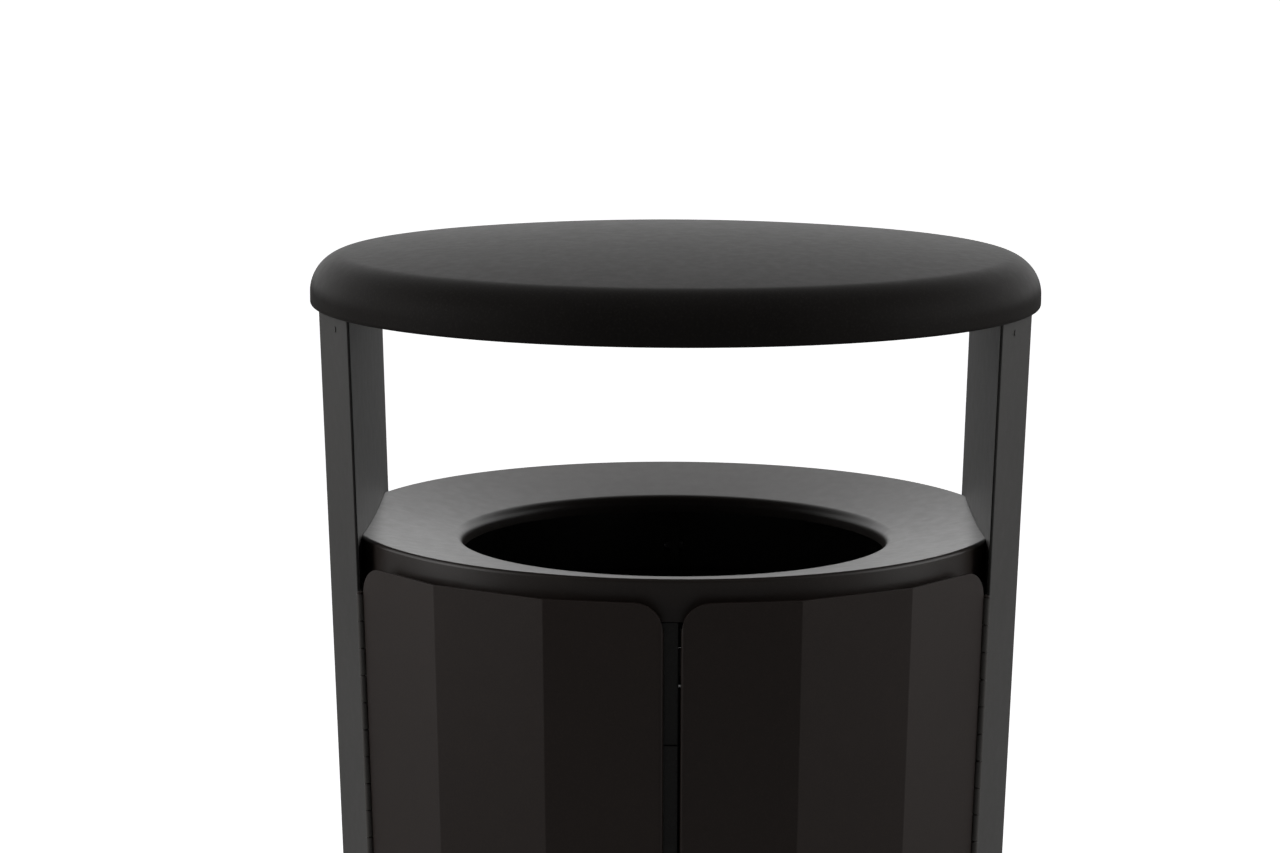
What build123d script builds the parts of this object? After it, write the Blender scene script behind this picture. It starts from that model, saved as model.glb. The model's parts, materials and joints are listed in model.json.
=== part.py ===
"""Canopied litter bin: a tapered 18-sided steel body, two hinged front doors, a funnel ring
and a spun canopy on two box posts. Front is -Y, the posts stand at +X and -X, +Z is up and
the origin lies on the ground under the middle of the body. Millimetres."""
import os
from math import asin, cos, degrees, floor, radians, sin, sqrt

from build123d import *

# ---- driving dimensions -------------------------------------------------------------------
SHEET = 2.5                  # body sheet steel
FACET = 20.0                 # each facet of the body spans this azimuth
TAPER = 0.033                # growth of the body radius per unit of height
RING_TOP = 850.0             # height of the funnel ring's outer edge
BODY_R = 328.5               # corner radius of the body at that height
CANOPY_BOTTOM = 1054.0       # height of the canopy's rim and of the post tops
CANOPY_R = 342.5             # widest radius of the canopy
CANOPY_RIM_R = 3.5           # bend from the canopy skirt to its turned-in flange
CANOPY_SKIRT = 12.0          # widest line of the canopy above its rim
CANOPY_SHOULDER_R = 36.0     # bend from the canopy skirt to its crown
CANOPY_CROWN = 53.5          # crown above the widest line
CANOPY_FLANGE_R = 285.0      # inner radius of the turned-in flange
RING_R = 310.0               # funnel ring, outside
HOLE_R = 201.0               # funnel ring, opening
HOLE_DROP = 19.7             # the funnel falls this far from its edge to the opening
RING_SKIRT = 38.0            # height of the ring's outer skirt
POST_FOOT = 14.0             # underside of posts and plinth above the ground
POST_AZIMUTH = 60.0          # a post covers azimuths 60 to 120 degrees from the front
KNUCKLE = 25.4               # pitch of the hinge knuckles
KNUCKLES = 27
CORNER_R = 25.4              # rounded corners of the doors
DOOR_TOP = RING_TOP - 19.0
DOOR_BOTTOM = DOOR_TOP - 2 * CORNER_R - KNUCKLES * KNUCKLE
DOOR_HALF_GAP = 7.5          # half of the gap between the two doors
FLANGE_DEPTH = 19.0          # return flange along the free edge of a door
BARREL_R = 3.35
HINGE_OUT = 0.5              # pin axis outside the corner of the body
PIN_R = 1.6
PIN_FIT = 0.05               # radial clearance of the hinge pin
LEAF = 1.6                   # hinge leaf thickness
LEAF_WIDTH = 24.0
KNUCKLE_GAP = 1.2
PLINTH_TOP = DOOR_BOTTOM - 4.4
BASE_Z = 46.0                # underside of the base plate
BASE_T = 4.0
TIE_Z = 760.0                # lower edge of the tie band behind the doors
TIE_HEIGHT = 25.0
TIE_INSET = 34.0
TIE_T = 3.0
LINER_TOP = 745.0
LINER_R_TOP = 261.0
LINER_R_BOTTOM = 235.0
LINER_WALL = 4.0
LOCK_Z = 470.0
CAM_DEPTH = 30.0             # cam in front face, behind the door's outer face
CAM_LENGTH = 58.0
FOOT_X, FOOT_Y = 200.0, 155.0
ANCHOR = 150.0               # anchor holes stand this far from both middle planes

PLATE_OUT = 4.15             # outer face of the inner plates beyond the post corners

POST_SIN = sin(radians(POST_AZIMUTH))
POST_COS = cos(radians(POST_AZIMUTH))
HALF_FACET = radians(FACET / 2)
UP = (Align.CENTER, Align.CENTER, Align.MIN)
os.makedirs("parts", exist_ok=True)


# ---- outline of the body ------------------------------------------------------------------
def body_radius(z):
    """Corner radius of the tapered body at height z."""
    return BODY_R + TAPER * (z - RING_TOP)


def facet_middle(azimuth):
    return FACET * (floor(azimuth / FACET) + 0.5)


def wall_point(azimuth, z, inset=0.0):
    """Point of the 18-sided outline, inset square to the facet that holds the azimuth."""
    reach = body_radius(z) * cos(HALF_FACET) - inset
    radius = reach / cos(radians(azimuth - facet_middle(azimuth)))
    return radius * sin(radians(azimuth)), -radius * cos(radians(azimuth))


def wall_y(x, z, inset):
    """Distance of the facets beside the middle plane from the XZ plane, at a given x."""
    reach = body_radius(z) * cos(HALF_FACET) - inset
    return (reach - abs(x) * sin(HALF_FACET)) / cos(HALF_FACET)


def post_wall_y(x, z, inset):
    """Distance of a post's first facet from the XZ plane, at a given x."""
    normal = radians(POST_AZIMUTH) + HALF_FACET
    reach = body_radius(z) * cos(HALF_FACET) - inset
    return (reach - x * sin(normal)) / cos(normal)


def chord_x(z):
    """Outer face of the inner plate, which runs beside the chord between a post's corners."""
    return body_radius(z) * POST_SIN + PLATE_OUT


def facet_plane(azimuth, z, inset):
    """Plane on a facet: local z points out of the body, local x to rising azimuth."""
    middle = radians(facet_middle(azimuth))
    x, y = wall_point(azimuth, z, inset)
    outward = (sin(middle), -cos(middle), -TAPER * cos(HALF_FACET))
    return Plane(origin=(x, y, z), x_dir=(cos(middle), sin(middle), 0), z_dir=outward)


def chord_plane(y, z):
    """Plane on the outer face of a right-hand inner plate, local z pointing to the post."""
    return Plane(origin=(chord_x(z), y, z), x_dir=(0, 1, 0), z_dir=(1, 0, -TAPER * POST_SIN))


# ---- shapes used by several pieces ----------------------------------------------------------
def polygon_face(points, z):
    with BuildSketch(Plane.XY.offset(z)) as face:
        with BuildLine():
            Polyline(*points, close=True)
        make_face()
    return face.sketch


def band_face(start, stop, z, inset, thickness):
    corners = [FACET * i for i in range(-9, 19) if start < FACET * i < stop]
    azimuths = [start, *corners, stop]
    outer = [wall_point(a, z, inset) for a in azimuths]
    inner = [wall_point(a, z, inset + thickness) for a in reversed(azimuths)]
    return polygon_face(outer + inner, z)


def wall_band(start, stop, bottom, top, inset, thickness):
    """Folded strip of the body wall between two azimuths and two heights."""
    ends = [band_face(start, stop, z, inset, thickness) for z in (bottom, top)]
    loft(ends, ruled=True)


def rectangle_face(x0, x1, y0, y1, z):
    return polygon_face([(x0, y0), (x1, y0), (x1, y1), (x0, y1)], z)


def chord_block(near, far, y_ends, bottom, top, mode=Mode.ADD):
    """Block that follows a right-hand inner plate: near and far are depths from its outer face
    to the middle of the bin, y_ends(z) gives its two ends at each height."""
    ends = [rectangle_face(chord_x(z) - far, chord_x(z) - near, *y_ends(z), z)
            for z in (bottom, top)]
    loft(ends, ruled=True, mode=mode)


def edge_flange(x0, x1, bottom, top, inset, depth, side, skin_x=None):
    """Flange that runs inwards beside the middle plane; side -1 front, 1 rear. Its depths are
    measured from the skin at skin_x, by default at its end further from the middle plane."""
    def face(z):
        reach = wall_y(skin_x or max(abs(x0), abs(x1)), z, inset)
        return rectangle_face(x0, x1, side * reach, side * (reach - depth), z)

    loft([face(bottom), face(top)], ruled=True)


def hex_prism(plane, across_flats, bore, height):
    with BuildSketch(plane) as outline:
        RegularPolygon(across_flats / 2, 6, major_radius=False)
        if bore:
            Circle(bore / 2, mode=Mode.SUBTRACT)
    extrude(outline.sketch, amount=height)


def rod(plane, diameter, length, mode=Mode.ADD):
    with Locations(plane):
        Cylinder(diameter / 2, length, align=UP, mode=mode)


def bolt(plane, across_flats, head, diameter, length):
    """Hexagon bolt whose bearing face lies on the plane, shank along -z of the plane."""
    hex_prism(plane, across_flats, 0, head)
    rod(plane.offset(-length), diameter, length)


def save(part, name):
    part.label = name
    export_step(part, f"parts/{name}.step")


def save_pair(right_part, name):
    """Writes a right-hand piece and its mirror image."""
    with BuildPart() as left_piece:
        mirror(right_part, about=Plane.YZ)
    save(right_part, f"right_{name}")
    save(left_piece.part, f"left_{name}")


def save_both_sides(right_part, name):
    """Writes a right-hand group of pieces together with its mirror image as one node."""
    with BuildPart() as pieces:
        add(right_part)
        mirror(right_part, about=Plane.YZ)
    save(pieces.part, name)


# ---- posts ----------------------------------------------------------------------------------
POST_EDGE = 2.15             # azimuth between the post's corner and the edge of its shell
CAP_T = 4.0
CAP_SCREW_Z = CANOPY_BOTTOM - 14.0
CAP_SCREW_AZIMUTHS = (69.5, 110.5)
CAP_SCREW_HEAD_D, CAP_SCREW_HEAD = 5.5, 0.8
CAP_SCREW_D = 4.0
CANOPY_BOLT_X, CANOPY_BOLT_Y = 310.0, 55.0
RING_BOLT_Y, RING_BOLT_Z = 60.0, 828.0
BASE_BOLT_Y, BASE_BOLT_Z = 70.0, 28.0
M8, M8_HOLE = 8.0, 8.6
REAR_SCREW_Z = (160.0, 370.0, 580.0, 770.0)
REAR_SCREW_FROM_EDGE = 32.0
REAR_SCREW_D = 5.0
REAR_SCREW_END = 3.0         # screw end that stands out inside the post
REAR_SCREW_HEAD = 2.5


def rear_screw_y(z):
    return body_radius(z) * POST_COS - REAR_SCREW_FROM_EDGE


def inner_plate_face(z):
    """Section of an inner plate, both ends mitred to lie against the shell's inner side."""
    x_ends = (chord_x(z), chord_x(z) - SHEET)
    half = [(x, post_wall_y(x, z, SHEET)) for x in x_ends]
    return polygon_face(half + [(x, -y) for x, y in reversed(half)], z)


with BuildPart() as post_shell:
    wall_band(POST_AZIMUTH + POST_EDGE, 180 - POST_AZIMUTH - POST_EDGE,
              POST_FOOT, CANOPY_BOTTOM, 0, SHEET)
    for azimuth in CAP_SCREW_AZIMUTHS:
        hole_foot = facet_plane(azimuth, CAP_SCREW_Z, 0).offset(-2 * SHEET)
        rod(hole_foot, CAP_SCREW_D, 4 * SHEET, Mode.SUBTRACT)
save_pair(post_shell.part, "post_shell")

with BuildPart() as post_inner_plate:
    loft([inner_plate_face(z) for z in (POST_FOOT, CANOPY_BOTTOM)], ruled=True)
    for y, z in ((RING_BOLT_Y, RING_BOLT_Z), (BASE_BOLT_Y, BASE_BOLT_Z)):
        for side in (-1, 1):
            rod(chord_plane(side * y, z).offset(-2 * SHEET), M8_HOLE, 4 * SHEET, Mode.SUBTRACT)
    for z in REAR_SCREW_Z:
        rod(chord_plane(rear_screw_y(z), z).offset(-2 * SHEET), REAR_SCREW_D, 4 * SHEET,
            Mode.SUBTRACT)
save_pair(post_inner_plate.part, "post_inner_plate")

LUG_W, LUG_DEPTH, LUG_H = 14.0, 8.0, 14.0


def cap_face(z):
    """Inside of a post: the three facets of the shell closed by the inner plate."""
    y = post_wall_y(chord_x(z), z, SHEET)
    facets = [wall_point(a, z, SHEET) for a in (80, 100)]
    return polygon_face([(chord_x(z), -y), *facets, (chord_x(z), y)], z)


with BuildPart() as post_cap:
    loft([cap_face(z) for z in (CANOPY_BOTTOM - CAP_T, CANOPY_BOTTOM)], ruled=True)
    for azimuth in CAP_SCREW_AZIMUTHS:
        lug_back = facet_plane(azimuth, CAP_SCREW_Z, 0).offset(-SHEET - LUG_DEPTH)
        with Locations(lug_back):
            Box(LUG_W, LUG_H, LUG_DEPTH, align=UP)
        rod(lug_back, CAP_SCREW_D, LUG_DEPTH, Mode.SUBTRACT)
    with Locations(*[(CANOPY_BOLT_X, y, CANOPY_BOTTOM) for y in (-CANOPY_BOLT_Y, CANOPY_BOLT_Y)]):
        Hole(M8_HOLE / 2)
save_pair(post_cap.part, "post_cap")

with BuildPart() as cap_screws:
    for azimuth in CAP_SCREW_AZIMUTHS:
        face = facet_plane(azimuth, CAP_SCREW_Z, 0)
        rod(face, CAP_SCREW_HEAD_D, CAP_SCREW_HEAD)
        rod(face.offset(-SHEET - LUG_DEPTH), CAP_SCREW_D, SHEET + LUG_DEPTH)
save_both_sides(cap_screws.part, "post_cap_screws")

# ---- canopy ---------------------------------------------------------------------------------
WIDEST_Z = CANOPY_BOTTOM + CANOPY_SKIRT
SHOULDER_X = CANOPY_R - CANOPY_SHOULDER_R
CROWN_R = ((CANOPY_CROWN**2 + SHOULDER_X**2 - CANOPY_SHOULDER_R**2)
           / (2 * (CANOPY_CROWN - CANOPY_SHOULDER_R)))
CROWN_CENTRE_Z = WIDEST_Z + CANOPY_CROWN - CROWN_R


def canopy_section(thickness):
    """Half section of the canopy's solid outline, drawn this far inside its outer face."""
    rim_r = CANOPY_RIM_R - thickness
    shoulder_r = CANOPY_SHOULDER_R - thickness
    crown_r = CROWN_R - thickness
    rim_centre = Vector(CANOPY_R - CANOPY_RIM_R, CANOPY_BOTTOM + CANOPY_RIM_R)
    shoulder_centre = Vector(SHOULDER_X, WIDEST_Z)
    crown_centre = Vector(0, CROWN_CENTRE_Z)
    crown_dir = (shoulder_centre - crown_centre).normalized()
    half_dir = (crown_dir + Vector(1, 0)).normalized()
    apex = crown_centre + Vector(0, crown_r)
    crown_end = crown_centre + crown_dir * crown_r
    crown_middle = crown_centre + (crown_dir + Vector(0, 1)).normalized() * crown_r
    skirt_foot = rim_centre + Vector(rim_r, 0)
    widest = shoulder_centre + Vector(shoulder_r, 0)
    rim_end = rim_centre + Vector(0, -rim_r)
    with BuildSketch(Plane.XZ) as section:
        with BuildLine():
            Line((0, rim_end.Y), rim_end)
            ThreePointArc(rim_end, rim_centre + Vector(1, -1).normalized() * rim_r, skirt_foot)
            Line(skirt_foot, widest)
            ThreePointArc(widest, shoulder_centre + half_dir * shoulder_r, crown_end)
            ThreePointArc(crown_end, crown_middle, apex)
            Line(apex, (0, rim_end.Y))
        make_face()
    return section.sketch


with BuildPart() as canopy:
    revolve(canopy_section(0), axis=Axis.Z)
    revolve(canopy_section(SHEET), axis=Axis.Z, mode=Mode.SUBTRACT)
    rod(Plane.XY.offset(CANOPY_BOTTOM - 1), 2 * CANOPY_FLANGE_R, SHEET + 2, Mode.SUBTRACT)
    for x in (-CANOPY_BOLT_X, CANOPY_BOLT_X):
        for y in (-CANOPY_BOLT_Y, CANOPY_BOLT_Y):
            rod(Plane((x, y, CANOPY_BOTTOM - 1)), M8_HOLE, SHEET + 2, Mode.SUBTRACT)
save(canopy.part, "canopy")

CANOPY_SHANK = SHEET + CAP_T + 8.5

with BuildPart() as canopy_bolts:
    for y in (-CANOPY_BOLT_Y, CANOPY_BOLT_Y):
        bolt(Plane((CANOPY_BOLT_X, y, CANOPY_BOTTOM + SHEET)), 13, 5.5, M8, CANOPY_SHANK)
save_both_sides(canopy_bolts.part, "canopy_bolts")

with BuildPart() as canopy_nuts:
    for y in (-CANOPY_BOLT_Y, CANOPY_BOLT_Y):
        hex_prism(Plane((CANOPY_BOLT_X, y, CANOPY_BOTTOM - CAP_T - 6.5)), 13, M8, 6.5)
save_both_sides(canopy_nuts.part, "canopy_nuts")

# ---- funnel ring ----------------------------------------------------------------------------
RING_EDGE_R = 6.0
HOLE_EDGE_R = 10.0
LIP = 15.0
TAB_Y = 105.0
FUNNEL_SLOPE = HOLE_DROP / (RING_R - HOLE_R)


def ring_outline(thickness):
    """Path of the ring sheet from the skirt's foot over the funnel to the lip's foot."""
    hole_z = RING_TOP - HOLE_DROP
    lip_foot = hole_z - LIP
    points = [(RING_R - thickness, RING_TOP - RING_SKIRT),
              (RING_R - thickness, RING_TOP - thickness),
              (HOLE_R + thickness, hole_z - thickness),
              (HOLE_R + thickness, lip_foot)]
    return FilletPolyline(*points, radius=[RING_EDGE_R - thickness, HOLE_EDGE_R - thickness])


with BuildSketch(Plane.XZ) as ring_sheet:
    with BuildLine():
        outer_path = ring_outline(0)
        inner_path = ring_outline(SHEET)
        Line(outer_path @ 0, inner_path @ 0)
        Line(outer_path @ 1, inner_path @ 1)
    make_face()

TAB_INNER_R, TAB_OUTER_R = HOLE_R + 20, RING_R - RING_EDGE_R


def funnel_middle_z(radius):
    """Height of the middle of the funnel sheet."""
    return RING_TOP - SHEET / 2 - (RING_R - radius) * FUNNEL_SLOPE


with BuildSketch(Plane.XZ) as tab_zone:
    with BuildLine():
        Polyline((TAB_INNER_R, RING_TOP - RING_SKIRT), (TAB_OUTER_R, RING_TOP - RING_SKIRT),
                 (TAB_OUTER_R, funnel_middle_z(TAB_OUTER_R)),
                 (TAB_INNER_R, funnel_middle_z(TAB_INNER_R)), close=True)
    make_face()


def tab_ends(_):
    return -TAB_Y, TAB_Y


with BuildPart() as ring_tab:
    chord_block(SHEET, 2 * SHEET, tab_ends, RING_TOP - RING_SKIRT, RING_TOP)
    revolve(tab_zone.sketch, axis=Axis.Z, mode=Mode.INTERSECT)
    for y in (-RING_BOLT_Y, RING_BOLT_Y):
        rod(chord_plane(y, RING_BOLT_Z).offset(-3 * SHEET), M8_HOLE, 4 * SHEET, Mode.SUBTRACT)

with BuildPart() as ring_end_cutter:
    chord_block(-60, SHEET, lambda z: (-RING_R, RING_R), RING_TOP - 60, RING_TOP + 10)

with BuildPart() as funnel_ring:
    revolve(ring_sheet.sketch, axis=Axis.Z)
    add(ring_end_cutter.part, mode=Mode.SUBTRACT)
    mirror(ring_end_cutter.part, about=Plane.YZ, mode=Mode.SUBTRACT)
    add(ring_tab.part)
    mirror(ring_tab.part, about=Plane.YZ)
save(funnel_ring.part, "funnel_ring")

with BuildPart() as ring_bolts:
    for y in (-RING_BOLT_Y, RING_BOLT_Y):
        head_face = chord_plane(y, RING_BOLT_Z).offset(-2 * SHEET)
        inward = Plane(origin=head_face.origin, x_dir=(0, 1, 0), z_dir=-head_face.z_dir)
        bolt(inward, 13, 5.5, M8, 2 * SHEET + 9)
save_both_sides(ring_bolts.part, "ring_bolts")

with BuildPart() as ring_nuts:
    for y in (-RING_BOLT_Y, RING_BOLT_Y):
        hex_prism(chord_plane(y, RING_BOLT_Z), 13, M8, 6.5)
save_both_sides(ring_nuts.part, "ring_nuts")

# ---- rear panels ----------------------------------------------------------------------------
SEAM_HALF_GAP = 1.5
SEAM_FLANGE_TOP = RING_TOP - RING_SKIRT - 2.0
SEAM_BOLT_Z = (150.0, 300.0, 450.0, 600.0, 758.0)
SEAM_BOLT_DEPTH = 12.0
SEAM_STRIP_INSET = 1.0
M6 = 6.0
LAP_WIDTH, LAP_T = 42.0, 4.0


def seam_plane(x, z):
    """Plane square to X at a bolt of the rear seam, local z pointing to +X."""
    y = body_radius(z) - SEAM_BOLT_DEPTH
    return Plane(origin=(x, y, z), x_dir=(0, 1, 0), z_dir=(1, 0, 0))


def lap_ends(z):
    edge = body_radius(z) * POST_COS
    return edge - LAP_WIDTH, edge + LAP_T


def body_face(z):
    return polygon_face([wall_point(FACET * i, z) for i in range(18)], z)


with BuildPart() as rear_lap:
    chord_block(SHEET, SHEET + LAP_T, lap_ends, DOOR_BOTTOM, DOOR_TOP - RING_SKIRT)
    loft([body_face(z) for z in (DOOR_BOTTOM, DOOR_TOP)], ruled=True, mode=Mode.INTERSECT)


with BuildPart() as rear_panel:
    wall_band(180 - POST_AZIMUTH, 180, DOOR_BOTTOM, DOOR_TOP, 0, SHEET)
    with Locations((0, body_radius(RING_TOP), RING_TOP / 2)):
        Box(2 * SEAM_HALF_GAP, 100, RING_TOP, mode=Mode.SUBTRACT)
    edge_flange(SEAM_HALF_GAP, SEAM_HALF_GAP + SHEET, DOOR_BOTTOM, SEAM_FLANGE_TOP, 0,
                FLANGE_DEPTH, 1)
    add(rear_lap.part)
    for z in SEAM_BOLT_Z:
        rod(seam_plane(0, z), M6, 10, Mode.SUBTRACT)
    for z in REAR_SCREW_Z:
        rod(chord_plane(rear_screw_y(z), z).offset(-4 * SHEET), REAR_SCREW_D, 4 * SHEET,
            Mode.SUBTRACT)
save_pair(rear_panel.part, "rear_panel")

SEAM_FACE = SEAM_HALF_GAP + SHEET

with BuildPart() as rear_seam_bolts:
    for z in SEAM_BOLT_Z:
        bolt(seam_plane(SEAM_FACE, z), 10, 4, M6, 2 * SEAM_FACE + 7)
save(rear_seam_bolts.part, "rear_seam_bolts")

with BuildPart() as rear_seam_nuts:
    for z in SEAM_BOLT_Z:
        hex_prism(seam_plane(-SEAM_FACE - 5, z), 10, M6, 5)
save(rear_seam_nuts.part, "rear_seam_nuts")

with BuildPart() as rear_seam_strip:
    edge_flange(-SEAM_HALF_GAP, SEAM_HALF_GAP, DOOR_BOTTOM, SEAM_FLANGE_TOP, SEAM_STRIP_INSET,
                FLANGE_DEPTH - SEAM_STRIP_INSET, 1)
    for z in SEAM_BOLT_Z:
        rod(seam_plane(-2 * SEAM_HALF_GAP, z), M6, 4 * SEAM_HALF_GAP, Mode.SUBTRACT)
save(rear_seam_strip.part, "rear_seam_strip")

with BuildPart() as rear_panel_screws:
    for z in REAR_SCREW_Z:
        face = chord_plane(rear_screw_y(z), z)
        shank = SHEET + LAP_T
        rod(face.offset(-shank), REAR_SCREW_D, shank + REAR_SCREW_END)
        rod(face.offset(-shank - REAR_SCREW_HEAD), 10, REAR_SCREW_HEAD)
save_both_sides(rear_panel_screws.part, "rear_panel_screws")

# ---- plinth and base ------------------------------------------------------------------------
PLINTH_INSET = 4.0
PLINTH_FLANGE = 20.0
PLINTH_AZIMUTH = POST_AZIMUTH + 3.0
DRAIN_R = 130.0

BASE_ANGLE = 30.0
BASE_ANGLE_T = 3.0
BASE_ANGLE_Y = 100.0
ANCHOR_D, DRAIN_D = 14.0, 12.0
FOOT_D, FOOT_BORE = 12.0, 12.1
WELD_NUT, LOCK_NUT = 10.0, 7.0
NUT_FLATS = 19.0
FOOT_PLACES = [(x, y) for x in (-FOOT_X, FOOT_X) for y in (-FOOT_Y, FOOT_Y)]


def base_face(z):
    """The base plate's outline: the 18-sided body cut off by the two inner plates."""
    inset = PLINTH_INSET + SHEET
    side = chord_x(z) - SHEET
    corner_y = -post_wall_y(side, z, inset)
    front = [wall_point(a, z, inset) for a in (-60, -40, -20, 0, 20, 40, 60)]
    half = [(-side, corner_y), *front, (side, corner_y)]
    return polygon_face(half + [(x, -y) for x, y in reversed(half)], z)


def plinth_ends(z):
    return -body_radius(z), body_radius(z)


with BuildPart() as post_side:
    chord_block(-60, SHEET, plinth_ends, 0, RING_TOP)

with BuildPart() as plinth_front:
    wall_band(-PLINTH_AZIMUTH, PLINTH_AZIMUTH, POST_FOOT, PLINTH_TOP, PLINTH_INSET, SHEET)
    wall_band(-PLINTH_AZIMUTH, PLINTH_AZIMUTH, PLINTH_TOP - SHEET, PLINTH_TOP, PLINTH_INSET,
              PLINTH_FLANGE)
    add(post_side.part, mode=Mode.SUBTRACT)
    mirror(post_side.part, about=Plane.YZ, mode=Mode.SUBTRACT)
save(plinth_front.part, "plinth_front")

with BuildPart() as plinth_rear:
    mirror(plinth_front.part, about=Plane.XZ)
save(plinth_rear.part, "plinth_rear")

with BuildPart() as base_plate:
    loft([base_face(z) for z in (BASE_Z, BASE_Z + BASE_T)], ruled=True)
    with Locations((0, 0, BASE_Z + BASE_T)):
        with GridLocations(2 * ANCHOR, 2 * ANCHOR, 2, 2):
            Hole(ANCHOR_D / 2)
        with GridLocations(2 * FOOT_X, 2 * FOOT_Y, 2, 2):
            Hole(FOOT_D / 2 + 1)
        with PolarLocations(DRAIN_R, 4):
            Hole(DRAIN_D / 2)
        Hole(DRAIN_D / 2)
save(base_plate.part, "base_plate")

with BuildPart() as base_angles:
    angle_ends = (-BASE_ANGLE_Y, BASE_ANGLE_Y)
    chord_block(SHEET, SHEET + BASE_ANGLE_T, lambda z: angle_ends, BASE_Z - BASE_ANGLE, BASE_Z)
    chord_block(SHEET, SHEET + BASE_ANGLE, lambda z: angle_ends, BASE_Z - BASE_ANGLE_T, BASE_Z)
    for y in (-BASE_BOLT_Y, BASE_BOLT_Y):
        rod(chord_plane(y, BASE_BOLT_Z).offset(-4 * SHEET), M8_HOLE, 6 * SHEET, Mode.SUBTRACT)
save_both_sides(base_angles.part, "base_angles")

with BuildPart() as base_bolts:
    for y in (-BASE_BOLT_Y, BASE_BOLT_Y):
        angle_face = chord_plane(y, BASE_BOLT_Z).offset(-SHEET - BASE_ANGLE_T)
        inward = Plane(origin=angle_face.origin, x_dir=(0, 1, 0), z_dir=-angle_face.z_dir)
        bolt(inward, 13, 5.5, M8, SHEET + BASE_ANGLE_T + 9)
save_both_sides(base_bolts.part, "base_bolts")

with BuildPart() as base_nuts:
    for y in (-BASE_BOLT_Y, BASE_BOLT_Y):
        hex_prism(chord_plane(y, BASE_BOLT_Z), 13, M8, 6.5)
save_both_sides(base_nuts.part, "base_nuts")

with BuildPart() as foot_weld_nuts:
    for x, y in FOOT_PLACES:
        hex_prism(Plane((x, y, BASE_Z - WELD_NUT)), NUT_FLATS, FOOT_BORE, WELD_NUT)
save(foot_weld_nuts.part, "foot_weld_nuts")

with BuildPart() as foot_lock_nuts:
    for x, y in FOOT_PLACES:
        lock_nut_z = BASE_Z - WELD_NUT - LOCK_NUT
        hex_prism(Plane((x, y, lock_nut_z)), NUT_FLATS, FOOT_BORE, LOCK_NUT)
save(foot_lock_nuts.part, "foot_lock_nuts")

# ---- levelling feet ---------------------------------------------------------------------------
PAD_R, PAD_H = 25.0, 12.0
STUD_SEAT = 4.0
STUD_TOP = 62.0

for x, y in FOOT_PLACES:
    place = f"{'front' if y < 0 else 'rear'}_{'left' if x < 0 else 'right'}"
    with BuildPart() as foot_pad:
        rod(Plane((x, y, 0)), 2 * PAD_R, PAD_H)
        chamfer(foot_pad.edges().group_by(Axis.Z)[-1], 3)
        rod(Plane((x, y, STUD_SEAT)), FOOT_D, PAD_H, Mode.SUBTRACT)
    save(foot_pad.part, f"{place}_foot_pad")
    with BuildPart() as foot_stud:
        rod(Plane((x, y, STUD_SEAT)), FOOT_D, STUD_TOP - STUD_SEAT)
        chamfer(foot_stud.edges().group_by(Axis.Z)[-1], 1)
    save(foot_stud.part, f"{place}_foot_stud")

# ---- tie band with the door stops ---------------------------------------------------------------
TIE_AZIMUTH = 79.0
TIE_TAB = 40.0
BUMPER_AZIMUTHS = (-30.0, 30.0)
BUMPER_D = 16.0
STOP_GAP = 0.4
STRIKE_DEPTH = FLANGE_DEPTH + 2.0
STRIKE_T = 2.5
MAGNET_W, MAGNET_H = 14.0, 22.0
LEFT_STRIKE = (-24.0, -1.5)
RIGHT_STRIKE = (DOOR_HALF_GAP + SHEET, 27.0)


def tie_tab_ends(z):
    end = -sqrt(max(0.0, (body_radius(z) - TIE_INSET) ** 2 - chord_x(z) ** 2))
    return end - TIE_TAB / 2, end + TIE_TAB / 2


with BuildPart() as tie_tab:
    chord_block(SHEET, SHEET + TIE_T, tie_tab_ends, TIE_Z, TIE_Z + TIE_HEIGHT)

with BuildPart() as tie_band:
    wall_band(-TIE_AZIMUTH, TIE_AZIMUTH, TIE_Z, TIE_Z + TIE_HEIGHT, TIE_INSET, TIE_T)
    add(post_side.part, mode=Mode.SUBTRACT)
    mirror(post_side.part, about=Plane.YZ, mode=Mode.SUBTRACT)
    add(tie_tab.part)
    mirror(tie_tab.part, about=Plane.YZ)
save(tie_band.part, "tie_band")

BUMPER_Z = TIE_Z + TIE_HEIGHT / 2
BUMPER_LENGTH = TIE_INSET - SHEET - STOP_GAP

with BuildPart() as door_bumpers:
    for azimuth in BUMPER_AZIMUTHS:
        rod(facet_plane(azimuth, BUMPER_Z, TIE_INSET), BUMPER_D, BUMPER_LENGTH)
save(door_bumpers.part, "door_bumpers")


def magnet_face(strike_ends, z):
    """Upright block between the tie band and a strike plate, behind the front facets."""
    widest = max(abs(x) for x in strike_ends)
    near = wall_y(widest, z, STRIKE_DEPTH) - STRIKE_T - STOP_GAP
    x = sum(strike_ends) / 2
    far = [(px, -wall_y(px, z, TIE_INSET)) for px in (x + MAGNET_W / 2, x - MAGNET_W / 2)]
    return polygon_face([(x - MAGNET_W / 2, -near), (x + MAGNET_W / 2, -near), *far], z)


with BuildPart() as door_magnets:
    for ends in (LEFT_STRIKE, RIGHT_STRIKE):
        magnet_ends = [magnet_face(ends, BUMPER_Z + h) for h in (-MAGNET_H / 2, MAGNET_H / 2)]
        loft(magnet_ends, ruled=True)
save(door_magnets.part, "door_magnets")

# ---- liner --------------------------------------------------------------------------------------
LINER_FLOOR = BASE_Z + BASE_T
LINER_LIP = 11.0
LINER_LIP_H = 16.0
LINER_CORNER = 12.0
GUIDE_R = 242.0
GUIDE_T, GUIDE_W, GUIDE_H, GUIDE_FOOT = 2.5, 34.0, 30.0, 18.0

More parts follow.
